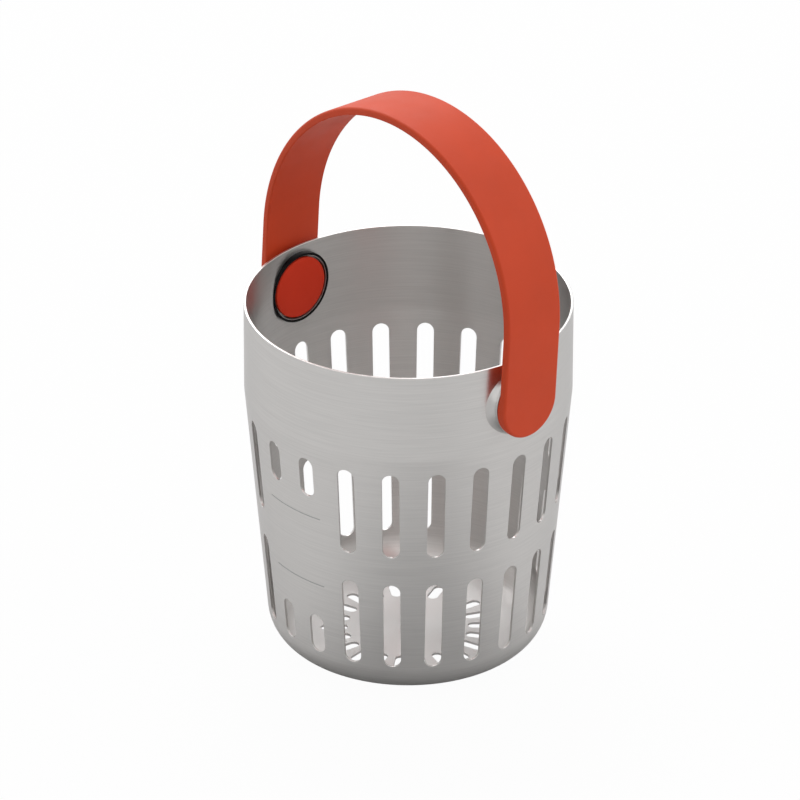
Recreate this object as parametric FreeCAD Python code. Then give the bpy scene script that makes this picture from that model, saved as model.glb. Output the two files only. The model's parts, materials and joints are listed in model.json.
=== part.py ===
import FreeCAD, Part
import math
import os

from FreeCAD import Vector

# Slotted cooking basket with a swinging bail handle.
# Millimetres, +Z up, origin on the axis of the basket at the face it stands on.
# The bail's pivot axis runs along X.  The level marks face -Y.

os.makedirs("parts", exist_ok=True)

# --- basket shell ---------------------------------------------------------
outer_radius = 62.0        # outside of the straight collar
sheet = 1.0                # wall and floor thickness
body_height = 142.0
collar_depth = 35.4        # straight wall from the rim down to the crease
taper_deg = 5.15           # lean of the wall below the crease
corner_radius = 14.0       # outside radius where wall turns into floor
rim_round = 0.22           # broken edges of the cut rim

# --- slots in the wall ----------------------------------------------------
slots_round = 22           # in each row
slot_width = 6.5
slot_length = 37.0
half_slot_length = 16.5    # beside the level marks
crease_to_slot = 6.1       # crease down to the top of the upper row
row_gap = 12.6             # solid band between the two rows

# --- level marks ----------------------------------------------------------
mark_heights = (75.0, 44.8)
mark_width = 0.45
mark_depth = 0.12
mark_span_deg = 26.4
mark_azimuth_deg = -90.0

# --- slots in the floor ---------------------------------------------------
floor_slot_start = 23.0    # distance of the inner end from the axis
floor_slot_length = 10.3
floor_slot_width = 4.0

# --- pivot ----------------------------------------------------------------
pivot_below_rim = 17.0
pivot_forward = 1.1        # pivot axis in front of the basket's axis, towards -Y
boss_radius = 13.5         # skirt set through the wall
boss_wall = 0.5            # skirt round the recess that faces the inside
boss_web = 1.3             # disc that carries the journal
boss_web_stand = 0.3       # web's inner face, out from the collar's outside
boss_set_in = 1.8          # inner end of the skirt, inside the collar's inner face
drum_radius = 13.2         # outer end of the boss
flare_radius = 15.3        # where the boss spreads onto the wall
flare_start = 2.1          # widest point of the flare, inside the collar's outside
flare_length = 2.7
boss_edge = 0.15
washer_radius = 12.0       # let into the boss's outer face
washer_thickness = 0.4
journal_radius = 4.0
journal_clearance = 0.05
run_gap = 0.3              # between pieces that move past each other

# --- seal ring and cap, inside the basket ---------------------------------
seal_radius = 14.2         # round the skirt, against the wall
seal_stand = 0.4           # front face, in front of the skirt's end
seal_round = 0.15
cap_stand = 0.1            # front face, in front of the skirt's end
cap_front_thickness = 0.9
cap_skirt_wall = 0.9
cap_skirt_length = 0.8
cap_round = 0.45
cap_gap = 0.7              # cap to skirt
retainer_radius = 11.0
screw_radius = 1.5
screw_head_radius = 2.8
screw_length = 5.1
screw_socket_flats = 2.0
screw_socket_depth = 0.9

# --- bail handle ----------------------------------------------------------
pad_gap = 0.3              # end pad to boss and friction washer
pad_rise = 1.0             # pad stands proud of the band's inner face
pad_radius = 13.2
band_thickness = 3.0
band_width = 26.9
leg_length = 28.0          # pivot up to where the arch springs
band_round_outer = 1.2
band_round_inner = 0.6
pad_round = 0.4
core_thickness = 1.0
core_width = 18.0
spigot_radius = 3.0
stud_head_radius = 4.5
stud_head_thickness = 0.5
handle_lean_deg = 3.5      # as it stands at rest, past upright towards +Y

# --- derived places -------------------------------------------------------
taper = math.radians(taper_deg)
crease_height = body_height - collar_depth
inner_radius = outer_radius - sheet
slot_pitch_deg = 360.0 / slots_round
upper_top = crease_height - crease_to_slot
upper_bottom = upper_top - slot_length
lower_top = upper_bottom - row_gap
lower_bottom = lower_top - slot_length
pivot_height = body_height - pivot_below_rim

skirt_end = inner_radius - boss_set_in
boss_web_inner = outer_radius + boss_web_stand
recess_radius = boss_radius - boss_wall
drum_face = boss_web_inner + boss_web
washer_inner = drum_face - washer_thickness
pad_face = drum_face + pad_gap
band_inner = pad_face + pad_rise
band_outer = band_inner + band_thickness
core_inner = band_inner + (band_thickness - core_thickness) / 2
core_outer = core_inner + core_thickness
spring_height = pivot_height + leg_length

seal_front = skirt_end - seal_stand
cap_front = skirt_end - cap_stand
cap_back = cap_front + cap_front_thickness
cap_radius = recess_radius - cap_gap
retainer_outer = boss_web_inner - run_gap


def wall_radius(height):
    """Outside radius of the wall above the bottom corner."""
    if height >= crease_height:
        return outer_radius
    return outer_radius - math.tan(taper) * (crease_height - height)


def along_x(radius, x_start, x_end):
    """Cylinder on the pivot axis."""
    place = Vector(min(x_start, x_end), -pivot_forward, pivot_height)
    return Part.makeCylinder(radius, abs(x_end - x_start), place, Vector(1, 0, 0))


def turned_on_x(points):
    """Solid turned about the pivot axis from (x, radius) corners."""
    corners = [Vector(x, -pivot_forward, pivot_height + radius) for x, radius in points]
    face = Part.Face(Part.makePolygon(corners + corners[:1]))
    return face.revolve(Vector(0, -pivot_forward, pivot_height), Vector(1, 0, 0), 360)


def mirrored(shape):
    return shape.mirror(Vector(0, 0, 0), Vector(1, 0, 0))


def leaned(shape):
    """Turn a piece of the bail from upright to where it rests."""
    turned = shape.copy()
    turned.rotate(Vector(0, -pivot_forward, pivot_height), Vector(1, 0, 0),
                  -handle_lean_deg)
    return turned


def circle_edges(shape, radius, x):
    """Full circles of a given radius about the pivot axis, at one x."""
    found = []
    for edge in shape.Edges:
        curve = edge.Curve
        if curve.TypeId != "Part::GeomCircle":
            continue
        if abs(curve.Radius - radius) < 1e-3 and abs(curve.Center.x - x) < 1e-3:
            found.append(edge)
    return found


# --- shell ----------------------------------------------------------------
def wall_side(offset):
    """Edges of one skin of the sheet, from the axis out and up to the rim."""
    radius = outer_radius - offset
    arc_radius = corner_radius - offset
    arc_centre = wall_radius(corner_radius) - corner_radius / math.cos(taper)
    floor_z = offset
    kink = crease_height + (offset / math.cos(taper) - offset) / math.tan(taper)
    arc_start = Vector(arc_centre, 0, floor_z)
    half_turn = (math.pi / 2 - taper) / 2
    arc_middle = Vector(arc_centre + arc_radius * math.sin(half_turn), 0,
                        corner_radius - arc_radius * math.cos(half_turn))
    arc_end = Vector(arc_centre + arc_radius * math.cos(taper), 0,
                     corner_radius - arc_radius * math.sin(taper))
    crease = Vector(radius, 0, kink)
    rim = Vector(radius, 0, body_height)
    return [
        Part.LineSegment(Vector(0, 0, floor_z), arc_start).toShape(),
        Part.Arc(arc_start, arc_middle, arc_end).toShape(),
        Part.LineSegment(arc_end, crease).toShape(),
        Part.LineSegment(crease, rim).toShape(),
    ]


def make_blank():
    """Drawn cup before the slots are cut."""
    outside = wall_side(0.0)
    inside = wall_side(sheet)
    rim = Part.LineSegment(Vector(outer_radius, 0, body_height),
                           Vector(inner_radius, 0, body_height)).toShape()
    axis = Part.LineSegment(Vector(0, 0, sheet), Vector(0, 0, 0)).toShape()
    wire = Part.Wire(outside + [rim] + inside[::-1] + [axis])
    cup = Part.Face(wire).revolve(Vector(0, 0, 0), Vector(0, 0, 1), 360)
    if cup.ShapeType != "Solid":
        cup = Part.Solid(cup) if cup.ShapeType == "Shell" else cup.Solids[0]
    rims = []
    for edge in cup.Edges:
        if edge.BoundBox.ZMin > body_height - 1e-3 and edge.Length > 10:
            rims.append(edge)
    return cup.makeFillet(rim_round, rims)


def make_slot(top, bottom, azimuth_deg):
    """Tool for one wall slot with full-round ends."""
    half = slot_width / 2
    near = wall_radius(bottom) - 3 * sheet
    depth = outer_radius + sheet - near
    body = Part.makeBox(depth, slot_width, top - bottom - slot_width,
                        Vector(near, -half, bottom + half))
    for height in (top - half, bottom + half):
        end = Part.makeCylinder(half, depth, Vector(near, 0, height), Vector(1, 0, 0))
        body = body.fuse(end)
    body = body.removeSplitter()
    body.rotate(Vector(0, 0, 0), Vector(0, 0, 1), azimuth_deg)
    return body


def make_floor_slot(azimuth_deg):
    """Tool for one radial slot in the floor."""
    half = floor_slot_width / 2
    height = 3 * sheet
    straight = floor_slot_length - floor_slot_width
    body = Part.makeBox(straight, floor_slot_width, height,
                        Vector(floor_slot_start + half, -half, -sheet))
    for along in (floor_slot_start + half, floor_slot_start + half + straight):
        end = Part.makeCylinder(half, height, Vector(along, 0, -sheet))
        body = body.fuse(end)
    body = body.removeSplitter()
    body.rotate(Vector(0, 0, 0), Vector(0, 0, 1), azimuth_deg)
    return body


def make_mark(height):
    """Tool for one engraved level line."""
    low = height - mark_width / 2
    high = height + mark_width / 2
    out = 1.0
    corners = [
        Vector(wall_radius(low) - mark_depth, 0, low),
        Vector(wall_radius(low) + out, 0, low),
        Vector(wall_radius(high) + out, 0, high),
        Vector(wall_radius(high) - mark_depth, 0, high),
    ]
    face = Part.Face(Part.makePolygon(corners + corners[:1]))
    ring = face.revolve(Vector(0, 0, 0), Vector(0, 0, 1), mark_span_deg)
    ring.rotate(Vector(0, 0, 0), Vector(0, 0, 1), mark_azimuth_deg - mark_span_deg / 2)
    return ring


def beside_marks(azimuth_deg):
    """True for the slots that are shortened to leave room for the level marks."""
    away = (azimuth_deg - mark_azimuth_deg + 180.0) % 360.0 - 180.0
    return abs(away) < slot_pitch_deg


def make_shell():
    shell = make_blank()
    tools = []
    for index in range(slots_round):
        azimuth = index * slot_pitch_deg
        if beside_marks(azimuth):
            tools.append(make_slot(upper_top, upper_top - half_slot_length, azimuth))
            tools.append(make_slot(lower_bottom + half_slot_length, lower_bottom, azimuth))
        else:
            tools.append(make_slot(upper_top, upper_bottom, azimuth))
            tools.append(make_slot(lower_top, lower_bottom, azimuth))
        tools.append(make_floor_slot(azimuth))
    for height in mark_heights:
        tools.append(make_mark(height))
    for side in (1, -1):
        start = side * (skirt_end - boss_radius)
        tools.append(along_x(boss_radius, start, side * (outer_radius + sheet)))
    return shell.cut(tools)


# --- pivot, right side; the left side is its mirror image -------------------
def upright_cylinder(radius):
    return Part.makeCylinder(radius, body_height)


def make_boss():
    """Skirt through the wall, web, and a drum that flares out onto the wall."""
    skirt = along_x(boss_radius, skirt_end, boss_web_inner)
    drum = along_x(drum_radius, boss_web_inner, drum_face)
    drum = drum.makeFillet(boss_edge, circle_edges(drum, drum_radius, drum_face))
    start = outer_radius - flare_start
    flare = Part.makeCone(flare_radius, drum_radius, flare_length,
                          Vector(start, -pivot_forward, pivot_height), Vector(1, 0, 0))
    flare = flare.cut(upright_cylinder(outer_radius))
    boss = skirt.fuse([drum, flare])
    recess = along_x(recess_radius, skirt_end - sheet, boss_web_inner)
    seat = along_x(washer_radius, washer_inner, drum_face + sheet)
    bore = along_x(journal_radius + journal_clearance, boss_web_inner - sheet,
                   drum_face + sheet)
    return boss.cut([recess, seat, bore]).removeSplitter()


def make_friction_washer():
    ring = along_x(washer_radius, washer_inner, drum_face)
    bore = along_x(journal_radius + run_gap, washer_inner - sheet, drum_face + sheet)
    return ring.cut(bore)


def make_seal():
    """Ring round the skirt; its back follows the inside of the wall."""
    ring = along_x(seal_radius, seal_front, outer_radius)
    edges = circle_edges(ring, seal_radius, seal_front)
    ring = ring.makeFillet(seal_round, edges)
    ring = ring.cut(along_x(boss_radius, seal_front - sheet, outer_radius + sheet))
    return ring.common(upright_cylinder(inner_radius))


def make_screw():
    cone_end = cap_back + screw_head_radius - screw_radius
    screw = turned_on_x([
        (cap_back, 0.0),
        (cap_back, screw_head_radius),
        (cone_end, screw_radius),
        (cap_back + screw_length, screw_radius),
        (cap_back + screw_length, 0.0),
    ])
    across = screw_socket_flats / math.sqrt(3)
    corners = []
    for step in range(6):
        angle = math.radians(60 * step)
        corners.append(Vector(cap_back - sheet, across * math.cos(angle) - pivot_forward,
                              pivot_height + across * math.sin(angle)))
    hexagon = Part.Face(Part.makePolygon(corners + corners[:1]))
    socket = hexagon.extrude(Vector(sheet + screw_socket_depth, 0, 0))
    return screw.cut(socket)


def screw_space():
    """The screw without its socket, to cut the holes it fills."""
    cone_end = cap_back + screw_head_radius - screw_radius
    return turned_on_x([
        (cap_back, 0.0),
        (cap_back, screw_head_radius),
        (cone_end, screw_radius),
        (cap_back + screw_length, screw_radius),
        (cap_back + screw_length, 0.0),
    ])


def make_retainer():
    plate = along_x(retainer_radius, cap_back, retainer_outer)
    return plate.cut(screw_space())


def make_cap():
    front = along_x(cap_radius, cap_front, cap_back)
    front = front.makeFillet(cap_round, circle_edges(front, cap_radius, cap_front))
    skirt = along_x(retainer_radius + cap_skirt_wall, cap_back,
                    cap_back + cap_skirt_length)
    skirt = skirt.cut(along_x(retainer_radius, cap_back - sheet,
                              cap_back + cap_skirt_length + sheet))
    return front.fuse(skirt).removeSplitter()


def stud_space():
    """The stud as one turned shape, without its screw hole."""
    journal = along_x(journal_radius, retainer_outer, core_inner)
    spigot = along_x(spigot_radius, core_inner, core_outer)
    head = along_x(stud_head_radius, core_outer, core_outer + stud_head_thickness)
    return journal.fuse([spigot, head])


def make_stud():
    return stud_space().cut(screw_space())


# --- bail -------------------------------------------------------------------
def arch_band(inner, outer, width, end_radius):
    """Upright arch: two straight legs and a half-circle, with rounded leg ends."""
    foot = pivot_height - end_radius
    front = -pivot_forward - width / 2
    rings = []
    for radius in (inner, outer):
        left = Vector(-radius, front, spring_height)
        top = Vector(0, front, spring_height + radius)
        right = Vector(radius, front, spring_height)
        left_foot = Vector(-radius, front, foot)
        right_foot = Vector(radius, front, foot)
        rings.append([
            Part.LineSegment(left_foot, left).toShape(),
            Part.Arc(left, top, right).toShape(),
            Part.LineSegment(right, right_foot).toShape(),
            left_foot,
            right_foot,
        ])
    inside, outside = rings
    left_end = Part.LineSegment(inside[3], outside[3]).toShape()
    right_end = Part.LineSegment(outside[4], inside[4]).toShape()
    wire = Part.Wire([left_end] + outside[:3] + [right_end] + inside[2::-1])
    band = Part.Face(wire).extrude(Vector(0, width, 0))
    top_height = outer + spring_height - pivot_height + sheet
    upright = Part.makeBox(2 * outer + 2, width, top_height,
                           Vector(-outer - 1, front, pivot_height))
    round_end = along_x(end_radius, -outer - 1, outer + 1)
    return band.common(upright.fuse(round_end)).removeSplitter()


def loop_edges(shape, radius):
    """Long edges of an arch on the skin that has this radius in its arch."""
    found = []
    for edge in shape.Edges:
        on_skin = True
        for fraction in (0.0, 0.25, 0.5, 0.75, 1.0):
            first, last = edge.ParameterRange
            point = edge.valueAt(first + fraction * (last - first))
            if point.z > spring_height:
                away = math.hypot(point.x, point.z - spring_height)
            else:
                away = abs(point.x)
            if abs(away - radius) > 1e-3:
                on_skin = False
        if on_skin and edge.Length > 1:
            found.append(edge)
    return found


def make_core():
    strip = arch_band(core_inner, core_outer, core_width, core_width / 2)
    return strip.cut(along_x(spigot_radius, -core_outer - 1, core_outer + 1))


def make_cover(core):
    cover = arch_band(band_inner, band_outer, band_width, band_width / 2)
    cover = cover.makeFillet(band_round_outer, loop_edges(cover, band_outer))
    cover = cover.makeFillet(band_round_inner, loop_edges(cover, band_inner))
    for side in (1, -1):
        pad = along_x(pad_radius, side * pad_face, side * (band_inner + 0.2))
        pad = pad.makeFillet(pad_round, circle_edges(pad, pad_radius, side * pad_face))
        cover = cover.fuse(pad)
    cover = cover.removeSplitter()
    stud = stud_space()
    return cover.cut([core, stud, mirrored(stud)])


# --- build --------------------------------------------------------------------
core = make_core()
pieces = {
    "basket_shell": make_shell(),
    "handle_core": leaned(core),
    "handle_cover": leaned(make_cover(core)),
}
screws = []
fixed_makers = (
    ("boss", make_boss),
    ("friction_washer", make_friction_washer),
    ("seal_ring", make_seal),
)
swinging_makers = (
    ("pivot_stud", make_stud),
    ("retainer_disc", make_retainer),
    ("pivot_cap", make_cap),
)
for name, maker in fixed_makers:
    right = maker()
    pieces[name + "_right"] = right
    pieces[name + "_left"] = mirrored(right)
for name, maker in swinging_makers:
    right = maker()
    pieces[name + "_right"] = leaned(right)
    pieces[name + "_left"] = leaned(mirrored(right))
screw = make_screw()
pieces["retainer_screws"] = Part.makeCompound([leaned(screw), leaned(mirrored(screw))])

for name, shape in sorted(pieces.items()):
    solids = shape.Solids
    print(name, len(solids), round(shape.Volume, 2), shape.isValid())
    if len(solids) == 1:
        shape = solids[0]
    shape.exportStep("parts/" + name + ".step")
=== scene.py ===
import bpy
import json
import math
import numpy as np
from mathutils import Matrix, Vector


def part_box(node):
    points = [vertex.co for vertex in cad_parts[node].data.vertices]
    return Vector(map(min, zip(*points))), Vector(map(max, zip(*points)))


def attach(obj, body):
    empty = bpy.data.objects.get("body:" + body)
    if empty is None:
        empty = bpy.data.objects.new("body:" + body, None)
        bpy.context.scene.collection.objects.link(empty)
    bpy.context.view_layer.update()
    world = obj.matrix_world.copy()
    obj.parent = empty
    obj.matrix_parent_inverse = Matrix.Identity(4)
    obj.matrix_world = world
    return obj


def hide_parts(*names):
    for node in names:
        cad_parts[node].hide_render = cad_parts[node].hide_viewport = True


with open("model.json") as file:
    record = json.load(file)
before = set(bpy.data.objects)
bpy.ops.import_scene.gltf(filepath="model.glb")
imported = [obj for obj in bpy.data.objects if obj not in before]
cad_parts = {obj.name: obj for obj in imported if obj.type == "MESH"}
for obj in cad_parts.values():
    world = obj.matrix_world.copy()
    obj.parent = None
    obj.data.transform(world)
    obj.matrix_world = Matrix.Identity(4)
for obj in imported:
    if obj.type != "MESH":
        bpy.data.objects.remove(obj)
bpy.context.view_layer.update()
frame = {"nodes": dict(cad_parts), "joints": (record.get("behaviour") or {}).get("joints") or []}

# ---------------------------------------------------------------- sizes, mm
# What the CAD boxes give is read from them; the rest repeats the model's sizes.
MM = 0.001


def mm_box(node):
    low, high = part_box(node)
    return np.array(low) / MM, np.array(high) / MM


shell_high = mm_box("basket_shell")[1]
cover_high = mm_box("handle_cover")[1]
drum_low, drum_high = mm_box("boss_right")
washer_low, washer_high = mm_box("friction_washer_right")
seal_low, seal_high = mm_box("seal_ring_right")
cap_low, cap_high = mm_box("pivot_cap_right")

# basket shell: radii are of the outer skin, azimuths in radians from +X
OUTER = shell_high[0]
HEIGHT = shell_high[2]
SHEET = 1.0
CREASE = 106.6
CREASE_BLEND = 1.0
TAPER = math.radians(5.15)
CORNER = 14.0
RIM_ROUND = 0.22
RIM_BAND = 0.8
SLOTS = 22
PITCH = 2 * math.pi / SLOTS
SLOT_HALF = 3.25
SLOT_MARGIN = 3.6
SHORT_SLOT = 16.5
UPPER = (63.5, 100.5)
LOWER = (13.9, 50.9)
FLOOR_SLOT = (23.0, 33.3)
FLOOR_SLOT_HALF = 2.0
FLOOR_RING = (19.5, 36.5)
EDGE = 0.16
MARKS = (75.0, 44.8)
MARK_HALF = 0.225
MARK_FLANK = 0.6
MARK_DEPTH = 0.12
MARK_SLOPE = 0.9
MARK_SPAN = math.radians(13.2)
MARK_AZIMUTH = -math.pi / 2

# pivots: x and radius are along and about the pivot axis
PIVOT = frame["joints"][0]["pos_m"][2] / MM
PIVOT_Y = frame["joints"][0]["pos_m"][1] / MM
SKIRT_RADIUS = 13.5
SKIRT_WALL = 0.5
SKIRT_ROUND = 0.08
DRUM_RADIUS = 13.2
DRUM_EDGE = 0.15
DRUM_WEB = 1.3
DRUM_BORE = 4.05
FLARE_TOP = 62.6
FLARE_SLOPE = 2.1 / 2.7
FLARE_ROUNDS = 20
FLARE_SWEEP = 1.7
SEAL_LIP = 0.28
SEAL_ROUNDS = (0.35, 0.2)
CAP_DISC = 0.9
CAP_ROUND = 0.45
CAP_SKIRT = (11.0, 11.9)

# bail
BAND_OUTER = cover_high[0]
BAND_THICK = 3.0
BAND_HALF = 13.45
BAND_OUTER_ROUND = 1.2
BAND_INNER_ROUND = 0.6
LEG = 28.0
PAD_RADIUS = 13.2
PAD_ROUND = 0.15
PAD_EYE = 4.0
PAD_SUNK = 0.2
PAD_FACE = washer_high[0] + 0.3
LEAN = math.radians(3.5)

HAIR = 0.01

# ------------------------------------------------------------------- camera
LENS = 390.9124
SENSOR = 36.0
DISTANCE = 52.61356 * OUTER * MM
ELEVATION = 0.486344
TURN = 0.822119
YAW, NOD, ROLL = -0.000960, -0.011458, 0.001830


def unit(vector):
    return vector / np.linalg.norm(vector)


def placed(*columns):
    """Matrix whose columns are three axes and a place."""
    matrix = Matrix.Identity(4)
    for column, vector in enumerate(columns):
        for row in range(3):
            matrix[row][column] = vector[row]
    return matrix


def make_camera():
    """Camera over the basket's front: it looks at the rim's middle from its elevation, is
    turned about Z, and has a small yaw, nod and roll, in radians."""
    sin_e, cos_e = math.sin(ELEVATION), math.cos(ELEVATION)
    place = DISTANCE * np.array([0.0, -cos_e, sin_e])
    ahead = np.array([0.0, cos_e, -sin_e])
    right = np.array([1.0, 0.0, 0.0])
    above = np.cross(right, ahead)
    ahead = unit(ahead * math.cos(NOD) * math.cos(YAW)
                 + right * math.sin(YAW) + above * math.sin(NOD))
    right = unit(np.cross(ahead, np.array([0.0, 0.0, 1.0])))
    above = np.cross(right, ahead)
    rolled_right = right * math.cos(ROLL) + above * math.sin(ROLL)
    rolled_up = -right * math.sin(ROLL) + above * math.cos(ROLL)
    cos_t, sin_t = math.cos(TURN), math.sin(TURN)
    turn = np.array([[cos_t, -sin_t, 0.0], [sin_t, cos_t, 0.0], [0.0, 0.0, 1.0]])
    place = turn @ place + np.array([0.0, 0.0, HEIGHT * MM])
    data = bpy.data.cameras.new("camera")
    data.sensor_width = SENSOR
    data.lens = LENS
    data.clip_start = 0.05
    data.clip_end = 50.0
    camera = bpy.data.objects.new("camera", data)
    bpy.context.scene.collection.objects.link(camera)
    camera.matrix_world = placed(turn @ rolled_right, turn @ rolled_up, turn @ -ahead, place)
    bpy.context.scene.camera = camera


make_camera()


# --------------------------------------------------------------- mesh tools
WELD = 0.001
ROUND_SEGMENTS = 160


def whole_faces(quads):
    """Quads as face lists, with a triangle where two corners are one and none below that."""
    faces = []
    for quad in quads.tolist():
        face = [v for i, v in enumerate(quad) if v != quad[i - 1]]
        if len(set(face)) == len(face) and len(face) > 2:
            faces.append(face)
    return faces


class Surface:
    """Collects grids of points with their normals and joins them into one mesh."""

    def __init__(self):
        self.points = []
        self.normals = []
        self.quads = []
        self.count = 0

    def grid(self, points, normals, closed=False):
        """Adds quads between neighbouring rows; closed joins last column to first."""
        points = np.asarray(points, float)
        normals = np.asarray(normals, float)
        rows, columns = points.shape[:2]
        index = self.count + np.arange(rows * columns).reshape(rows, columns)
        if closed:
            index = np.concatenate([index, index[:, :1]], axis=1)
        quads = np.stack([index[:-1, :-1], index[:-1, 1:], index[1:, 1:], index[1:, :-1]], -1)
        self.points.append(points.reshape(-1, 3))
        self.normals.append(normals.reshape(-1, 3))
        self.quads.append(quads.reshape(-1, 4))
        self.count += rows * columns

    def build(self, name):
        """One mesh object: equal points welded, faces turned to the normals' side."""
        points = np.concatenate(self.points)
        normals = np.concatenate(self.normals)
        quads = np.concatenate(self.quads)
        keys = np.round(points / WELD).astype(np.int64)
        _, first, inverse = np.unique(keys, axis=0, return_index=True, return_inverse=True)
        inverse = inverse.reshape(-1)
        points, normals = points[first], normals[first]
        quads = inverse[quads]
        corner = points[quads]
        facing = np.cross(corner[:, 2] - corner[:, 0], corner[:, 3] - corner[:, 1])
        wanted = normals[quads].sum(1)
        turned = (facing * wanted).sum(1) < 0
        quads[turned] = quads[turned][:, ::-1]
        mesh = bpy.data.meshes.new(name)
        mesh.from_pydata((points * MM).tolist(), [], whole_faces(quads))
        mesh.update()
        mesh.shade_smooth()
        lengths = np.linalg.norm(normals, axis=1, keepdims=True)
        mesh.normals_split_custom_set_from_vertices((normals / lengths).tolist())
        piece = bpy.data.objects.new(name, mesh)
        bpy.context.scene.collection.objects.link(piece)
        return piece


def pivot_angles(side):
    """Angles about the pivot axis from +Y; they run the other way round on the left, so that
    both sides come out with their faces outwards."""
    angle = np.linspace(0, 2 * math.pi, ROUND_SEGMENTS, endpoint=False)
    return angle if side > 0 else math.pi - angle


def lathe(name, profile, side, lean=0.0, sharp_deg=32):
    """Closed surface about the pivot axis. Each row of the profile is (x, radius), and each of
    the two is one number or one for every angle: point = (side x, pivot y + radius cos a,
    pivot z + radius sin a). Side -1 gives the left-hand piece."""
    angle = pivot_angles(side)
    rows = []
    for x, radius in profile:
        rows.append(np.stack([side * (x + 0 * angle), PIVOT_Y + radius * np.cos(angle),
                              PIVOT + radius * np.sin(angle)], -1))
    points = leaned(np.array(rows), lean)
    index = np.arange(len(rows) * len(angle)).reshape(len(rows), len(angle))
    index = np.concatenate([index, index[:, :1]], axis=1)
    quads = np.stack([index[:-1, :-1], index[1:, :-1], index[1:, 1:], index[:-1, 1:]], -1)
    flat = points.reshape(-1, 3)
    keys = np.round(flat / WELD).astype(np.int64)
    _, first, inverse = np.unique(keys, axis=0, return_index=True, return_inverse=True)
    quads = inverse.reshape(-1)[quads.reshape(-1, 4)]
    mesh = bpy.data.meshes.new(name)
    mesh.from_pydata((flat[first] * MM).tolist(), [], whole_faces(quads))
    mesh.update()
    mesh.shade_smooth()
    mesh.set_sharp_from_angle(angle=math.radians(sharp_deg))
    piece = bpy.data.objects.new(name, mesh)
    bpy.context.scene.collection.objects.link(piece)
    return piece


def leaned(points, lean):
    """Points turned about the pivot axis, top towards +Y."""
    return leaned_vectors(points - [0, PIVOT_Y, PIVOT], lean) + [0, PIVOT_Y, PIVOT]


def leaned_vectors(vectors, lean):
    """Vectors turned about X: y' = y cos a + z sin a, z' = z cos a - y sin a."""
    cos_l, sin_l = math.cos(lean), math.sin(lean)
    result = np.array(vectors, float)
    result[..., 1] = vectors[..., 1] * cos_l + vectors[..., 2] * sin_l
    result[..., 2] = vectors[..., 2] * cos_l - vectors[..., 1] * sin_l
    return result


def round_corner(corner, before, after, radius, steps):
    """Points of a quarter arc that rounds a square corner of a profile, whose two sides run
    towards the points before and after."""
    corner = np.asarray(corner, float)
    first = unit(np.asarray(before, float) - corner)
    second = unit(np.asarray(after, float) - corner)
    centre = corner + (first + second) * radius
    points = []
    for turn in np.linspace(0, math.pi / 2, steps + 1):
        points.append(tuple(centre - second * radius * math.cos(turn)
                            - first * radius * math.sin(turn)))
    return points


# ------------------------------------------------------------- basket shell
def wall(z):
    """Outside radius of the wall and its slope dr/dz, with a short blend at the crease."""
    z = np.asarray(z, float)
    reach = CREASE + CREASE_BLEND - z
    cone = OUTER - math.tan(TAPER) * (CREASE - z)
    blend = OUTER - math.tan(TAPER) * reach ** 2 / (4 * CREASE_BLEND)
    radius = np.where(reach <= 0, OUTER, np.where(reach >= 2 * CREASE_BLEND, cone, blend))
    slope = math.tan(TAPER) * np.clip(reach / (2 * CREASE_BLEND), 0, 1)
    return radius, slope


def wall_skin(azimuth, z, inside, sunk=0.0):
    """Points and normals on one skin of the wall: (r cos a, r sin a, z), with the outer
    radius r less the sheet's thickness along r for the inside, and less any depth sunk."""
    radius, slope = wall(z)
    lean = np.sqrt(1 + slope ** 2)
    if inside:
        radius = radius - SHEET * lean
    radius = radius - sunk
    points = np.stack([radius * np.cos(azimuth), radius * np.sin(azimuth), z + 0 * azimuth], -1)
    out = 1.0 / lean
    up = -slope / lean
    normals = np.stack([out * np.cos(azimuth), out * np.sin(azimuth), up + 0 * azimuth], -1)
    return points, -normals if inside else normals


def outline(low, high, radius, across, along):
    """Obround from its lower to its upper end centre: across steps over each end, along
    steps on each side, counter-clockwise from lower left. A circle where the two centres are
    one. Returns offset across, height and the outward direction of each point."""
    eighth = math.pi / 4
    if high > low:
        bent = 4
        straight = along - 2 * bent
        side = np.concatenate([np.linspace(-eighth, 0, bent + 1)[:-1], np.zeros(straight),
                               np.linspace(0, eighth, bent + 1)[:-1]])
        lift = np.concatenate([np.zeros(bent), np.linspace(0, 1, straight + 1)[:-1],
                               np.ones(bent)])
    else:
        side = np.linspace(-eighth, eighth, along + 1)[:-1]
        lift = np.zeros(along)
    bottom = np.linspace(-3 * eighth, -eighth, across + 1)[:-1]
    top = np.linspace(eighth, 3 * eighth, across + 1)[:-1]
    angle = np.concatenate([bottom, side, top, side + math.pi])
    height = np.concatenate([np.zeros(across), lift, np.ones(across), 1 - lift])
    centre = low + (high - low) * height
    return (radius * np.cos(angle), centre + radius * np.sin(angle),
            np.cos(angle), np.sin(angle))


def frame_points(first, last, levels, across):
    """The same number of points round a rectangle, from its lower left corner."""
    levels = np.asarray(levels, float)
    columns = np.linspace(first, last, across + 1)
    bottom = np.stack([columns[:-1], np.full(across, levels[0])], -1)
    right = np.stack([np.full(len(levels) - 1, last), levels[:-1]], -1)
    top = np.stack([columns[:0:-1], np.full(across, levels[-1])], -1)
    left = np.stack([np.full(len(levels) - 1, first), levels[:0:-1]], -1)
    return np.concatenate([bottom, right, top, left])


# From an opening's frame to its edge, and round the edge into the sheet, in degrees
SPREAD = (1.0, 0.72, 0.45, 0.2, 0.07, 0.0)
ROUND_STEPS = (30, 60, 90)


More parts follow.
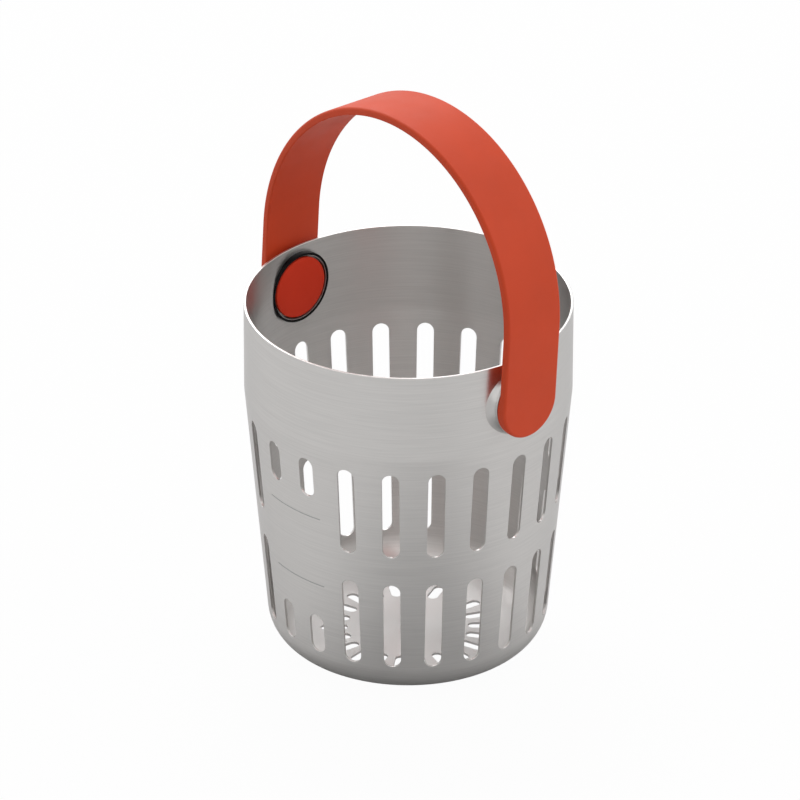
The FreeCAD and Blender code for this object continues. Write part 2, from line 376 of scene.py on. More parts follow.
def wall_patch(surface, middle, first, last, levels, low, high, radius, across, shift=0.0):
    """Both skins of a stretch of wall round one rounded opening, and the opening's edge.
    Shift moves the opening sideways from the middle of the stretch."""
    along = len(levels) - 1
    border = frame_points(first, last, levels, across)
    sides = []
    for inside in (False, True):
        y, z, _, _ = outline(low, high, radius + EDGE, across, along)
        y = y + shift
        skin_radius = wall(z)[0] - (SHEET if inside else 0.0)
        hole = np.stack([middle + np.arcsin(y / skin_radius), z], -1)
        skin_rows = []
        for spread in SPREAD:
            mix = hole + (border - hole) * spread
            skin_rows.append(wall_skin(mix[:, 0], mix[:, 1], inside))
        edge_rows = []
        for step in ROUND_STEPS:
            turn = math.radians(step)
            grow = EDGE * (1 - math.sin(turn))
            sunk = EDGE * (1 - math.cos(turn))
            y, z, ny, nz = outline(low, high, radius + grow, across, along)
            y = y + shift
            skin, slope = wall(z)
            skin = skin - (SHEET * np.sqrt(1 + slope ** 2) if inside else 0.0)
            skin = skin + (sunk if inside else -sunk)
            x = np.sqrt(skin ** 2 - y ** 2)
            cos_m, sin_m = math.cos(middle), math.sin(middle)
            points = np.stack([x * cos_m - y * sin_m, x * sin_m + y * cos_m, z], -1)
            flat = wall_skin(middle + np.arcsin(y / skin), z, inside)[1]
            hollow = np.stack([ny * sin_m, -ny * cos_m, -nz], -1)
            edge_rows.append((points, math.cos(turn) * flat + math.sin(turn) * hollow))
        sides.append(skin_rows + edge_rows)
    rows = sides[0] + sides[1][::-1]
    surface.grid([row[0] for row in rows], [row[1] for row in rows], closed=True)


def wall_plain(surface, first, last, levels, across, marks=()):
    """Both skins of a plain stretch of wall; marks are engraved in the outer one."""
    azimuth = np.linspace(first, last, across + 1)
    levels = np.asarray(levels, float)
    grid_a, grid_z = np.meshgrid(azimuth, levels)
    for inside in (False, True):
        points, normals = wall_skin(grid_a, grid_z, inside)
        engraved = () if inside else marks
        for mark in engraved:
            near = np.abs(grid_z - mark) < MARK_HALF * (1 + MARK_FLANK) / 2
            cut = near & (np.abs(from_marks(grid_a)) < MARK_SPAN)
            points[cut] = wall_skin(grid_a, grid_z, False, MARK_DEPTH)[0][cut]
            normals[cut, 2] -= np.sign(grid_z[cut] - mark) * MARK_SLOPE
        surface.grid(points, normals)


def from_marks(azimuth):
    """Azimuth counted from the level marks, between -pi and pi."""
    return (azimuth - MARK_AZIMUTH + math.pi) % (2 * math.pi) - math.pi


def groove_levels(mark):
    """Heights of one engraved mark: its two edges and the two sides of its flat bottom."""
    flat = MARK_HALF * MARK_FLANK
    return [mark - MARK_HALF, mark - flat, mark + flat, mark + MARK_HALF]


def make_shell():
    """The drawn sheet as one closed skin: profile of floor, corner arc, cone and collar
    turned about Z, with a grid laid round every opening. The two columns of slots on either
    side of the level marks are short ones, with a plain stretch of wall between them."""
    surface = Surface()
    across = 8
    band = (UPPER[0] + LOWER[1]) / 2
    short_top = LOWER[0] + SHORT_SLOT
    short_bottom = UPPER[1] - SHORT_SLOT
    low_short = list(np.linspace(corner_top(), short_top + SLOT_MARGIN, 13))
    low_rest = [37.0, 40.5] + groove_levels(MARKS[1]) + [47.5, 50.5, 53.8, band]
    up_rest = [60.0, 63.0, 66.0, 69.0, 72.0] + groove_levels(MARKS[0]) + [77.6]
    up_short = list(np.linspace(short_bottom - SLOT_MARGIN, CREASE - CREASE_BLEND, 13))
    for index in range(SLOTS):
        middle = index * PITCH
        first, last = middle - PITCH / 2, middle + PITCH / 2
        if abs(from_marks(middle)) < PITCH:
            wall_patch(surface, middle, first, last, low_short,
                       LOWER[0] + SLOT_HALF, short_top - SLOT_HALF, SLOT_HALF, across)
            wall_plain(surface, first, last, low_short[-1:] + low_rest, across, MARKS)
            wall_plain(surface, first, last, [band] + up_rest + up_short[:1], across, MARKS)
            wall_patch(surface, middle, first, last, up_short,
                       short_bottom + SLOT_HALF, UPPER[1] - SLOT_HALF, SLOT_HALF, across)
        else:
            wall_patch(surface, middle, first, last, low_short + low_rest,
                       LOWER[0] + SLOT_HALF, LOWER[1] - SLOT_HALF, SLOT_HALF, across)
            wall_patch(surface, middle, first, last, [band] + up_rest + up_short,
                       UPPER[0] + SLOT_HALF, UPPER[1] - SLOT_HALF, SLOT_HALF, across)
        floor_patch(surface, middle, first, last, across)
    crease_levels = np.linspace(CREASE - CREASE_BLEND, CREASE + CREASE_BLEND, 7)
    wall_plain(surface, -PITCH / 2, 2 * math.pi - PITCH / 2, crease_levels, across * SLOTS)
    collar_levels = np.linspace(CREASE + CREASE_BLEND, HEIGHT - RIM_BAND, 17)
    reach = 1.5 * PITCH
    for middle, shift in ((0.0, PIVOT_Y), (math.pi, -PIVOT_Y)):
        wall_patch(surface, middle, middle - reach, middle + reach, collar_levels,
                   PIVOT, PIVOT, SKIRT_RADIUS, across * 3, shift)
        wall_plain(surface, middle + reach, middle + math.pi - reach, collar_levels, across * 8)
    rim_strip(surface, across * SLOTS)
    corner_strip(surface, across * SLOTS)
    floor_disc(surface, across * SLOTS)
    return surface.build("shell_body")


def turned(surface, profile, columns):
    """Adds a closed strip turned about Z from (radius, z, normal r, normal z) rows."""
    azimuth = np.linspace(-PITCH / 2, 2 * math.pi - PITCH / 2, columns + 1)
    rows, normals = [], []
    for radius, z, out, up in profile:
        rows.append(np.stack([radius * np.cos(azimuth), radius * np.sin(azimuth),
                              z + 0 * azimuth], -1))
        normals.append(np.stack([out * np.cos(azimuth), out * np.sin(azimuth),
                                 up + 0 * azimuth], -1))
    surface.grid(rows, normals)


def rim_strip(surface, columns):
    """The collar's top band, with the broken edges of the cut rim."""
    low = HEIGHT - RIM_BAND
    profile = [(OUTER, low, 1, 0)]
    for turn in np.linspace(0, math.pi / 2, 5):
        profile.append((OUTER - RIM_ROUND * (1 - math.cos(turn)),
                        HEIGHT - RIM_ROUND * (1 - math.sin(turn)),
                        math.cos(turn), math.sin(turn)))
    inner = OUTER - SHEET
    for turn in np.linspace(math.pi / 2, 0, 5):
        profile.append((inner + RIM_ROUND * (1 - math.cos(turn)),
                        HEIGHT - RIM_ROUND * (1 - math.sin(turn)),
                        -math.cos(turn), math.sin(turn)))
    profile.append((inner, low, -1, 0))
    turned(surface, profile, columns)


def corner_centre():
    """Radius at which the corner's arc, tangent to cone and floor, has its centre."""
    return float(wall(CORNER)[0]) - CORNER / math.cos(TAPER)


def corner_top():
    """Height at which the corner's arc runs into the cone."""
    return CORNER * (1 - math.sin(TAPER))


def corner_strip(surface, columns):
    """Rounded turn from the wall into the floor, on both skins."""
    centre = corner_centre()
    turns = np.linspace(-TAPER, -math.pi / 2, 15)
    outer, inner = [], []
    for turn in turns:
        out, up = math.cos(turn), math.sin(turn)
        outer.append((centre + CORNER * out, CORNER + CORNER * up, out, up))
        radius = CORNER - SHEET
        inner.append((centre + radius * out, CORNER + radius * up, -out, -up))
    inner[0] = (float(wall(corner_top())[0]) - SHEET / math.cos(TAPER), corner_top(),
                -math.cos(TAPER), math.sin(TAPER))
    turned(surface, outer, columns)
    turned(surface, inner, columns)


def floor_patch(surface, middle, first, last, across):
    """Both skins of the floor round one radial drain slot, and the slot's edge."""
    levels = np.linspace(*FLOOR_RING, 17)
    border = frame_points(first, last, levels, across)
    low, high = FLOOR_SLOT[0] + FLOOR_SLOT_HALF, FLOOR_SLOT[1] - FLOOR_SLOT_HALF
    sides = []
    cos_m, sin_m = math.cos(middle), math.sin(middle)
    for z_skin, up in ((0.0, -1.0), (SHEET, 1.0)):
        y, x, _, _ = outline(low, high, FLOOR_SLOT_HALF + EDGE, across, len(levels) - 1)
        hole = np.stack([middle + np.arctan2(y, x), np.hypot(x, y)], -1)
        rows = []
        for spread in SPREAD:
            mix = hole + (border - hole) * spread
            points = np.stack([mix[:, 1] * np.cos(mix[:, 0]), mix[:, 1] * np.sin(mix[:, 0]),
                               np.full(len(mix), z_skin)], -1)
            rows.append((points, np.tile([0.0, 0.0, up], (len(mix), 1))))
        for step in ROUND_STEPS:
            turn = math.radians(step)
            y, x, ny, nx = outline(low, high, FLOOR_SLOT_HALF + EDGE * (1 - math.sin(turn)),
                                   across, len(levels) - 1)
            z = z_skin - up * EDGE * (1 - math.cos(turn))
            points = np.stack([x * cos_m - y * sin_m, x * sin_m + y * cos_m,
                               np.full(len(x), z)], -1)
            hollow = np.stack([-(nx * cos_m - ny * sin_m), -(nx * sin_m + ny * cos_m),
                               0 * nx], -1)
            flat = np.tile([0.0, 0.0, up], (len(x), 1))
            rows.append((points, math.cos(turn) * flat + math.sin(turn) * hollow))
        sides.append(rows)
    rows = sides[0] + sides[1][::-1]
    surface.grid([row[0] for row in rows], [row[1] for row in rows], closed=True)


def floor_disc(surface, columns):
    """Blank middle of the floor, and the ring between the drain slots and the corner."""
    for z, up in ((0.0, -1.0), (SHEET, 1.0)):
        for radii in ((0.0, 6.0, 12.0, FLOOR_RING[0]), (FLOOR_RING[1], corner_centre())):
            turned(surface, [(radius, z, 0, up) for radius in radii], columns)


# --------------------------------------------------------------------- bail
def quarter_turn(steps):
    return np.linspace(0, math.pi / 2, steps + 1)


def band_rings():
    """Rows of half width, depth below the outer skin, and the normal's share along the width
    and out of the skin: from the middle of the outer skin, over the rounded edge, to the
    middle of the inner skin."""
    half_widths = (0.0, 3.0, 6.0, 9.0, 11.0)
    rings = [(half, 0.0, 0.0, 1.0) for half in half_widths]
    for angle in quarter_turn(8):
        rings.append((BAND_HALF - BAND_OUTER_ROUND * (1 - math.sin(angle)),
                      BAND_OUTER_ROUND * (1 - math.cos(angle)),
                      math.sin(angle), math.cos(angle)))
    for angle in quarter_turn(6)[::-1]:
        rings.append((BAND_HALF - BAND_INNER_ROUND * (1 - math.sin(angle)),
                      BAND_THICK - BAND_INNER_ROUND * (1 - math.cos(angle)),
                      math.sin(angle), -math.cos(angle)))
    return rings + [(half, BAND_THICK, 0.0, -1.0) for half in half_widths[::-1]]


def add_band(surface):
    """Band laid out flat as an obround, wrapped over two legs and a half-circle: a length l
    along the band and a depth d are at (R - d)(sin b, cos b) about the spring line, with
    b = l / R on the half-circle, and what is left of l runs down the leg."""
    spring = PIVOT + LEG
    half_arc = math.pi / 2 * BAND_OUTER
    reach = half_arc + LEG
    arc_steps, side_steps = 40, 150
    turn = np.linspace(-math.pi / 2, math.pi / 2, arc_steps + 1)[:-1]
    straight = np.linspace(reach, -reach, side_steps + 1)[:-1]
    centre = np.concatenate([np.full(arc_steps, reach), straight,
                             np.full(arc_steps, -reach), -straight])
    along = np.concatenate([np.cos(turn), np.zeros(side_steps), -np.cos(turn),
                            np.zeros(side_steps)])
    across = np.concatenate([np.sin(turn), np.ones(side_steps), -np.sin(turn),
                             -np.ones(side_steps)])
    rows, normals = [], []
    for half, depth, side_part, skin_part in band_rings():
        length = centre + half * along
        width = half * across
        bend = np.clip(length, -half_arc, half_arc) / BAND_OUTER
        past = length - np.clip(length, -half_arc, half_arc)
        out = np.stack([np.sin(bend), 0 * bend, np.cos(bend)], -1)
        forward = np.stack([np.cos(bend), 0 * bend, -np.sin(bend)], -1)
        sideways = np.array([0.0, 1.0, 0.0])
        base = np.array([0.0, PIVOT_Y, spring])
        points = base + out * (BAND_OUTER - depth) + forward * past[:, None]
        points = points + sideways * width[:, None]
        normal = out * skin_part + side_part * (forward * along[:, None]
                                                + sideways * across[:, None])
        rows.append(leaned(points, LEAN))
        normals.append(leaned_vectors(normal, LEAN))
    surface.grid(rows, normals, closed=True)


def add_pad(surface, side):
    """Round pad between the band's end and the drum: (x, radius) rows about the pivot axis,
    each with its normal's x and radial parts, from inside the band to the eye in the pad."""
    profile = [(BAND_OUTER - BAND_THICK + PAD_SUNK, PAD_RADIUS, 0, 1)]
    for turn in quarter_turn(6):
        profile.append((PAD_FACE + PAD_ROUND * (1 - math.sin(turn)),
                        PAD_RADIUS - PAD_ROUND * (1 - math.cos(turn)),
                        -math.sin(turn), math.cos(turn)))
    profile.append((PAD_FACE, PAD_EYE, -1, 0))
    angle = np.linspace(0, 2 * math.pi, 128, endpoint=False)
    rows, normals = [], []
    for x, radius, normal_x, normal_r in profile:
        ring = np.stack([0 * angle + x * side, PIVOT_Y + radius * np.cos(angle),
                         PIVOT + radius * np.sin(angle)], -1)
        normal = np.stack([0 * angle + normal_x * side, normal_r * np.cos(angle),
                           normal_r * np.sin(angle)], -1)
        rows.append(leaned(ring, LEAN))
        normals.append(leaned_vectors(normal, LEAN))
    surface.grid(rows, normals, closed=True)


def make_cover():
    """Silicone moulding: the band and its two pads, leaned about the pivot axis."""
    surface = Surface()
    add_band(surface)
    for side in (1.0, -1.0):
        add_pad(surface, side)
    return surface.build("bail_cover")


# ------------------------------------------------------------------- pivots
def skin_reach(radius, angle, skin):
    """x at which a circle about the pivot axis meets a skin of the collar:
    the root of skin^2 - y^2, with y = pivot y + radius cos a."""
    return np.sqrt(skin ** 2 - (PIVOT_Y + radius * np.cos(angle)) ** 2)


def flare_root(angle):
    """Radius at which the drum's flare meets the collar at each angle, by repeating
    radius = drum radius + slope (flare top - x of the collar there)."""
    radius = np.full(len(angle), DRUM_RADIUS)
    for _ in range(FLARE_ROUNDS):
        radius = DRUM_RADIUS + FLARE_SLOPE * (FLARE_TOP - skin_reach(radius, angle, OUTER))
    return radius


def make_drum(side, tag):
    """Drum with the washer's seat in its face, a flare that sweeps down to the collar, and a
    skirt through the wall, hollow up to the web. Its foot lies a hair under the collar's skin."""
    angle = pivot_angles(side)
    skirt_end, face = drum_low[0], drum_high[0]
    recess = SKIRT_RADIUS - SKIRT_WALL
    web_inner = face - DRUM_WEB
    seat = (washer_high[2] - washer_low[2]) / 2
    profile = [(washer_low[0], DRUM_BORE), (washer_low[0], seat), (face, seat)]
    profile += round_corner((face, DRUM_RADIUS), (face, 0), (skirt_end, DRUM_RADIUS),
                            DRUM_EDGE, 5)
    root = flare_root(angle)
    root_x = skin_reach(root, angle, OUTER - 2 * HAIR)
    for part in np.linspace(0, 1, 7):
        profile.append((FLARE_TOP + (root_x - FLARE_TOP) * part,
                        DRUM_RADIUS + (root - DRUM_RADIUS) * part ** FLARE_SWEEP))
    skirt = SKIRT_RADIUS - HAIR
    profile.append((skin_reach(skirt, angle, OUTER - 2 * HAIR), skirt))
    profile += round_corner((skirt_end, skirt), (face, skirt), (skirt_end, 0), SKIRT_ROUND, 2)
    profile += round_corner((skirt_end, recess), (skirt_end, skirt), (face, recess),
                            SKIRT_ROUND, 2)
    profile += [(web_inner, recess), (web_inner, DRUM_BORE), (washer_low[0], DRUM_BORE)]
    drum = lathe("drum_" + tag, profile, side)
    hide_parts("boss_" + tag)
    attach(drum, "basket")
    return drum


def make_seal(side, tag):
    """Ring round the skirt, with a lip over the skirt's end and its back cut to the inside of
    the collar."""
    angle = pivot_angles(side)
    front = seal_low[0]
    outer = (seal_high[2] - seal_low[2]) / 2
    inner = SKIRT_RADIUS - SEAL_LIP
    skin = OUTER - SHEET + 2 * HAIR
    under_lip = drum_low[0] - HAIR
    bore = SKIRT_RADIUS + HAIR
    back = skin_reach(outer, angle, skin)
    profile = [(back, outer)]
    profile += round_corner((front, outer), (OUTER, outer), (front, inner), SEAL_ROUNDS[0], 7)
    profile += round_corner((front, inner), (front, outer), (OUTER, inner), SEAL_ROUNDS[1], 5)
    profile += [(under_lip, inner), (under_lip, bore),
                (skin_reach(SKIRT_RADIUS, angle, skin), bore), (back, outer)]
    seal = lathe("seal_" + tag, profile, side, sharp_deg=50)
    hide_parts("seal_ring_" + tag)
    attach(seal, "basket")
    return seal


def make_cap(side, tag):
    """Disc with a rounded edge and a skirt that grips the retainer; it turns with the bail."""
    front, back = cap_low[0], cap_high[0]
    radius = (cap_high[2] - cap_low[2]) / 2
    shoulder = front + CAP_DISC
    inner, outer = CAP_SKIRT
    profile = [(shoulder, 0.0), (shoulder, inner), (back, inner), (back, outer),
               (shoulder, outer), (shoulder, radius)]
    profile += round_corner((front, radius), (shoulder, radius), (front, 0), CAP_ROUND, 6)
    profile += [(front, ring) for ring in (9.0, 4.5, 0.0)]
    cap = lathe("cap_" + tag, profile, side, lean=LEAN)
    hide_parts("pivot_cap_" + tag)
    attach(cap, "handle")
    return cap


# ---------------------------------------------------------------- materials
class Nodes:
    """Short way to write a material's node tree."""

    def __init__(self, name):
        self.material = bpy.data.materials.new(name)
        self.material.use_nodes = True
        self.tree = self.material.node_tree
        self.shader = self.tree.nodes["Principled BSDF"]

    def set(self, **values):
        """Uniform values on the shader's sockets, with _ for a space in their names."""
        for name, value in values.items():
            self.shader.inputs[name.replace("_", " ")].default_value = value

    def add(self, kind, **settings):
        """A node, with its settings given by the names of its sockets or properties."""
        node = self.tree.nodes.new(kind)
        for key, value in settings.items():
            if key in node.inputs.keys():
                node.inputs[key].default_value = value
            else:
                setattr(node, key, value)
        return node

    def link(self, source, target):
        self.tree.links.new(source, target)

    def feed(self, socket, value):
        """A number or colour is set on the socket, and an output is linked to it."""
        if isinstance(value, (int, float, tuple)):
            socket.default_value = value
        elif value is not None:
            self.link(value, socket)

    def math(self, operation, first, second=None, third=None, clamp=False):
        node = self.add("ShaderNodeMath", operation=operation, use_clamp=clamp)
        for socket, value in zip(node.inputs, (first, second, third)):
            self.feed(socket, value)
        return node.outputs[0]

    def where(self):
        return self.add("ShaderNodeTexCoord").outputs["Object"]

    def noise(self, vector, scale, detail=4.0, rough=0.5):
        node = self.add("ShaderNodeTexNoise", Scale=scale, Detail=detail, Roughness=rough)
        self.link(vector, node.inputs["Vector"])
        return node.outputs["Fac"]

    def mix(self, factor, first, second):
        """Colour between two, by a factor. The sockets are the colour ones of a Mix node."""
        node = self.add("ShaderNodeMix", data_type="RGBA")
        for index, value in ((0, factor), (6, first), (7, second)):
            self.feed(node.inputs[index], value)
        return node.outputs[2]

    def ramp(self, value, low, high, to_low=0.0, to_high=1.0):
        """Value between low and high made a value between to_low and to_high, and held there."""
        node = self.add("ShaderNodeMapRange")
        for socket, limit in zip(node.inputs[1:5], (low, high, to_low, to_high)):
            socket.default_value = limit
        self.link(value, node.inputs["Value"])
        return node.outputs[0]

    def relief(self, height, strength, distance):
        bump = self.add("ShaderNodeBump", Strength=strength, Distance=distance)
        self.link(height, bump.inputs["Height"])
        self.link(bump.outputs[0], self.shader.inputs["Normal"])


def grey(value, warm=0.0):
    """Grey of one level; warm moves that share of it from blue to red."""
    return (value * (1 + warm), value, value * (1 - warm), 1.0)


def about_axis(nodes, about_pivot):
    """Object coordinates, the two that go round the brushing's axis, and the distance out
    plus along that axis, which is what each brush line keeps."""
    where = nodes.where()
    split = nodes.add("ShaderNodeSeparateXYZ")
    nodes.link(where, split.inputs[0])
    x, y, z = split.outputs
    if about_pivot:
        ring_a = nodes.math("SUBTRACT", y, PIVOT_Y * MM)
        ring_b = nodes.math("SUBTRACT", z, PIVOT * MM)
        along = x
    else:
        ring_a, ring_b, along = x, y, z
    away = nodes.math("SQRT", nodes.math("ADD", nodes.math("MULTIPLY", ring_a, ring_a),
                                         nodes.math("MULTIPLY", ring_b, ring_b)))
    return where, ring_a, ring_b, away, along


def brush_noise(nodes, ring_a, ring_b, line, round_scale, line_scale, detail):
    """Noise drawn out along the brushing: slow round the axis, quick across the lines. The two
    scales are in changes per metre."""
    place = nodes.add("ShaderNodeCombineXYZ")
    nodes.link(nodes.math("MULTIPLY", ring_a, round_scale), place.inputs[0])
    nodes.link(nodes.math("MULTIPLY", ring_b, round_scale), place.inputs[1])
    nodes.link(nodes.math("MULTIPLY", line, line_scale), place.inputs[2])
    return nodes.noise(place.outputs[0], 1.0, detail, 0.55)


def etched_lines(nodes, y, away, height):
    """1 on the level marks and 0 elsewhere."""
    towards_marks = nodes.math("DIVIDE", nodes.math("MULTIPLY", y, math.sin(MARK_AZIMUTH)), away)
    facing = nodes.math("GREATER_THAN", towards_marks, math.cos(MARK_SPAN))
    first, second = (nodes.math("COMPARE", height, mark * MM, MARK_HALF * MM) for mark in MARKS)
    return nodes.math("MULTIPLY", nodes.math("ADD", first, second), facing)


STEEL_WARMTH = 0.022
STEEL_CLOUDING = 0.07
STEEL_EDGE_TINT = grey(0.8)
ETCHED = grey(0.42)
# painted light: brighter colour for the shell's floor
PAINTED_LIGHT_FLOOR = grey(0.85, 0.01)


def brushed_steel(name, base=0.67, rough=0.29, about_pivot=False, shell=False):
    """Stainless steel brushed in circles about Z, or about the pivot axis. The shell has its
    etched marks, and a duller floor with painted light: its colour is brighter."""
    nodes = Nodes(name)
    where, ring_a, ring_b, away, along = about_axis(nodes, about_pivot)
    line = nodes.math("ADD", away, along)
    hairlines = brush_noise(nodes, ring_a, ring_b, line, 55.0, 5200.0, 3.0)
    streaks = brush_noise(nodes, ring_a, ring_b, line, 36.0, 1500.0, 3.0)
    cloud = nodes.noise(where, 24.0, 3.0, 0.55)
    smudge = nodes.noise(where, 60.0, 4.0, 0.6)
    shade = nodes.math("ADD", nodes.ramp(hairlines, 0.25, 0.75, -0.12, 0.12),
                       nodes.ramp(streaks, 0.3, 0.7, -0.3, 0.3))
    shade = nodes.math("ADD", shade, nodes.ramp(cloud, 0.3, 0.7, 0.43, 0.57), clamp=True)
    colour = nodes.mix(shade, grey(base * (1 - STEEL_CLOUDING), STEEL_WARMTH),
                       grey(base * (1 + STEEL_CLOUDING), STEEL_WARMTH))
    roughness = nodes.math("ADD", nodes.ramp(streaks, 0.3, 0.7, rough - 0.015, rough + 0.015),
                           nodes.ramp(smudge, 0.35, 0.7, 0.0, 0.03))
    if shell:
        marks = etched_lines(nodes, ring_b, away, along)
        floor_part = nodes.ramp(along, 1.2 * MM, 3.0 * MM, 1.0, 0.0)
        colour = nodes.mix(marks, colour, ETCHED)
        # painted light: the shell's floor is given a brighter colour
        colour = nodes.mix(floor_part, colour, PAINTED_LIGHT_FLOOR)
        for part, extra in ((floor_part, 0.3), (marks, 0.2)):
            roughness = nodes.math("MULTIPLY_ADD", part, extra, roughness)
    nodes.link(colour, nodes.shader.inputs["Base Color"])
    nodes.link(roughness, nodes.shader.inputs["Roughness"])
    nodes.relief(nodes.math("ADD", hairlines, streaks), 0.07, 0.02 * MM)
    nodes.set(Metallic=1.0, Specular_Tint=STEEL_EDGE_TINT, Anisotropic=0.7,
              Anisotropic_Rotation=0.25)
    tangent = nodes.add("ShaderNodeTangent", direction_type="RADIAL",
                        axis="X" if about_pivot else "Z")
    nodes.link(tangent.outputs[0], nodes.shader.inputs["Tangent"])
    return nodes.material


def moulded(name, colour, rough, specular=0.5):
    """Moulded silicone, rubber or nylon: faint clouding, fine mould grain, a few rubbed spots."""
    nodes = Nodes(name)
    where = nodes.where()
    cloud = nodes.noise(where, 35.0, 4.0, 0.55)
    grain = nodes.noise(where, 2600.0, 2.0, 0.5)
    rubbed = nodes.noise(where, 90.0, 5.0, 0.6)
    dark = tuple(part * 0.95 for part in colour) + (1.0,)
    light = tuple(part * 1.05 for part in colour) + (1.0,)
    nodes.link(nodes.mix(nodes.ramp(cloud, 0.3, 0.7), dark, light),
               nodes.shader.inputs["Base Color"])
    roughness = nodes.math("ADD", nodes.ramp(rubbed, 0.35, 0.7, rough + 0.03, rough - 0.04),
                           nodes.ramp(grain, 0.3, 0.7, -0.02, 0.02))
    nodes.link(roughness, nodes.shader.inputs["Roughness"])
    nodes.relief(grain, 0.12, 0.03 * MM)
    nodes.set(Specular_IOR_Level=specular)
    return nodes.material


def dress(piece, material):
    """Gives a piece its one material."""
    piece.data.materials.clear()
    piece.data.materials.append(material)


SHELL_STEEL = brushed_steel("steel_shell", shell=True)
DRUM_STEEL = brushed_steel("steel_drum", base=0.6, about_pivot=True)
HIDDEN_STEEL = brushed_steel("steel_plain", base=0.5, rough=0.3, about_pivot=True)
SILICONE = moulded("silicone_red", (0.64, 0.061, 0.015), 0.55, specular=0.28)
# painted light: the caps get a brighter, deeper red than the bail's silicone, to make up for the
# dimmer light inside the basket
CAP_SILICONE_PAINTED_LIGHT = moulded("silicone_cap_painted_light", (0.76, 0.044, 0.013), 0.5, specular=0.2)
RUBBER = moulded("rubber_black", (0.002, 0.002, 0.003), 0.25, specular=0.12)
NYLON = moulded("nylon_grey", (0.42, 0.42, 0.41), 0.4)

shell = make_shell()
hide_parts("basket_shell")
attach(shell, "basket")
dress(shell, SHELL_STEEL)

cover = make_cover()
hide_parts("handle_cover")
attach(cover, "handle")
dress(cover, SILICONE)

for side, tag in ((1.0, "right"), (-1.0, "left")):
    dress(make_drum(side, tag), DRUM_STEEL)
    dress(make_seal(side, tag), RUBBER)
    dress(make_cap(side, tag), CAP_SILICONE_PAINTED_LIGHT)

# The hardware inside the pivots keeps the model's own meshes
INNER_PARTS = {"handle_core": HIDDEN_STEEL, "pivot_stud": HIDDEN_STEEL,
               "retainer": HIDDEN_STEEL, "friction_washer": NYLON}
for name, node in frame["nodes"].items():
    for start, material in INNER_PARTS.items():
        if name.startswith(start):
            for slot in node.material_slots:
                slot.material = material


# --------------------------------------------------------- floor and lights
WHITE = grey(1.0)
FLOOR_GREY = 0.7
# painted shadow: the floor's colour is greyer round a spot in front of the object
PAINTED_SHADOW_GREY = 0.43
PAINTED_SHADOW_REACH = 85.0
PAINTED_SHADOW_RADII = (30.0, 110.0)


def stage_floor(width, seen, mirrored, painted_shadow_deg):
    """Pale floor with the object's soft shadow, and a painted shadow: its colour is greyer
    round a spot in front of the object, towards one azimuth. Seen directly it is lifted most of
    the way to white."""
    half = width / 2
    mesh = bpy.data.meshes.new("stage_floor")
    mesh.from_pydata([(-half, -half, 0), (half, -half, 0), (half, half, 0), (-half, half, 0)],
                     [], [(0, 1, 2, 3)])
    piece = bpy.data.objects.new("stage_floor", mesh)
    bpy.context.scene.collection.objects.link(piece)
    piece.location = (0, 0, -0.2 * MM)
    nodes = Nodes("floor_white")
    # painted shadow: grey round a spot in front of the object, paler further out
    spot = nodes.add("ShaderNodeVectorMath", operation="DISTANCE")
    azimuth = math.radians(painted_shadow_deg)
    spot.inputs[1].default_value = (PAINTED_SHADOW_REACH * MM * math.cos(azimuth),
                                    PAINTED_SHADOW_REACH * MM * math.sin(azimuth), 0.0)
    nodes.link(nodes.where(), spot.inputs[0])
    far = nodes.ramp(spot.outputs["Value"], PAINTED_SHADOW_RADII[0] * MM, PAINTED_SHADOW_RADII[1] * MM)
    nodes.link(nodes.mix(far, grey(PAINTED_SHADOW_GREY), grey(FLOOR_GREY)),
               nodes.shader.inputs["Base Color"])
    nodes.set(Roughness=0.9, Specular_IOR_Level=0.1)
    glow = nodes.add("ShaderNodeEmission", Color=WHITE, Strength=1.0)
    path = nodes.add("ShaderNodeLightPath")
    mirror = nodes.math("MAXIMUM", path.outputs["Is Glossy Ray"],
                        path.outputs["Is Transmission Ray"])
    lift = nodes.math("MAXIMUM", nodes.math("MULTIPLY", path.outputs["Is Camera Ray"], seen),
                      nodes.math("MULTIPLY", mirror, mirrored))
    blend = nodes.add("ShaderNodeMixShader")
    for socket, source in zip(blend.inputs, (lift, nodes.shader.outputs[0], glow.outputs[0])):
        nodes.link(source, socket)
    nodes.link(blend.outputs[0], nodes.tree.nodes["Material Output"].inputs["Surface"])
    dress(piece, nodes.material)


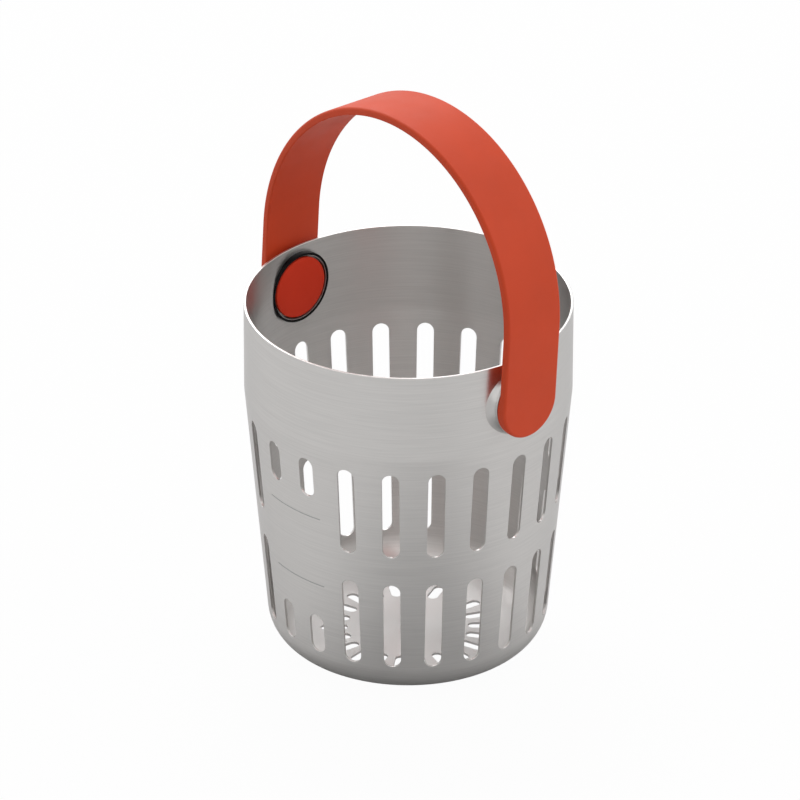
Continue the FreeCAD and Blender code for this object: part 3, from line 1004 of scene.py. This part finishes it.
def softbox(name, azimuth_deg, elevation_deg, distance, size, radiance):
    """Rectangular lamp that faces the object, sizes in metres; radiance 1 is the brightness
    of white."""
    azimuth, elevation = math.radians(azimuth_deg), math.radians(elevation_deg)
    back = np.array([math.cos(azimuth) * math.cos(elevation),
                     math.sin(azimuth) * math.cos(elevation), math.sin(elevation)])
    data = bpy.data.lights.new(name, "AREA")
    data.shape = "RECTANGLE"
    data.size, data.size_y = size
    data.energy = radiance * math.pi * size[0] * size[1]
    lamp = bpy.data.objects.new(name, data)
    bpy.context.scene.collection.objects.link(lamp)
    side = unit(np.cross([0.0, 0.0, 1.0], back))
    place = back * distance + [0.0, 0.0, HEIGHT / 2 * MM]
    lamp.matrix_world = placed(side, np.cross(back, side), back, place)


def studio_world(lighting, brightest_deg, lean):
    """White surroundings: full white where seen or mirrored. As lighting they are weaker, and
    they fall off away from one azimuth: lighting (1 + lean * part of the direction that way)."""
    world = bpy.data.worlds.new("studio")
    bpy.context.scene.world = world
    world.use_nodes = True
    tree = world.node_tree
    background = tree.nodes["Background"]
    background.inputs["Color"].default_value = WHITE
    path = tree.nodes.new("ShaderNodeLightPath")
    seen = path.outputs["Is Camera Ray"]
    for output in ("Is Glossy Ray", "Is Transmission Ray"):
        either = tree.nodes.new("ShaderNodeMath")
        either.operation = "MAXIMUM"
        tree.links.new(seen, either.inputs[0])
        tree.links.new(path.outputs[output], either.inputs[1])
        seen = either.outputs[0]
    direction = tree.nodes.new("ShaderNodeTexCoord").outputs["Generated"]
    part = tree.nodes.new("ShaderNodeVectorMath")
    part.operation = "DOT_PRODUCT"
    azimuth = math.radians(brightest_deg)
    part.inputs[1].default_value = (math.cos(azimuth), math.sin(azimuth), 0.0)
    tree.links.new(direction, part.inputs[0])
    fall = tree.nodes.new("ShaderNodeMath")
    fall.operation = "MULTIPLY_ADD"
    fall.inputs[1].default_value = lighting * lean
    fall.inputs[2].default_value = lighting
    tree.links.new(part.outputs["Value"], fall.inputs[0])
    strength = tree.nodes.new("ShaderNodeMapRange")
    strength.inputs["To Max"].default_value = 1.0
    tree.links.new(seen, strength.inputs["Value"])
    tree.links.new(fall.outputs[0], strength.inputs["To Min"])
    tree.links.new(strength.outputs[0], background.inputs["Strength"])


stage_floor(width=6.0, seen=0.97, mirrored=0.04, painted_shadow_deg=-36.0)
softbox("back_light", azimuth_deg=153.0, elevation_deg=38.0, distance=1.6, size=(0.9, 0.7),
        radiance=3.0)
studio_world(lighting=0.94, brightest_deg=108.0, lean=0.7)
bpy.context.scene.view_settings.view_transform = "Standard"
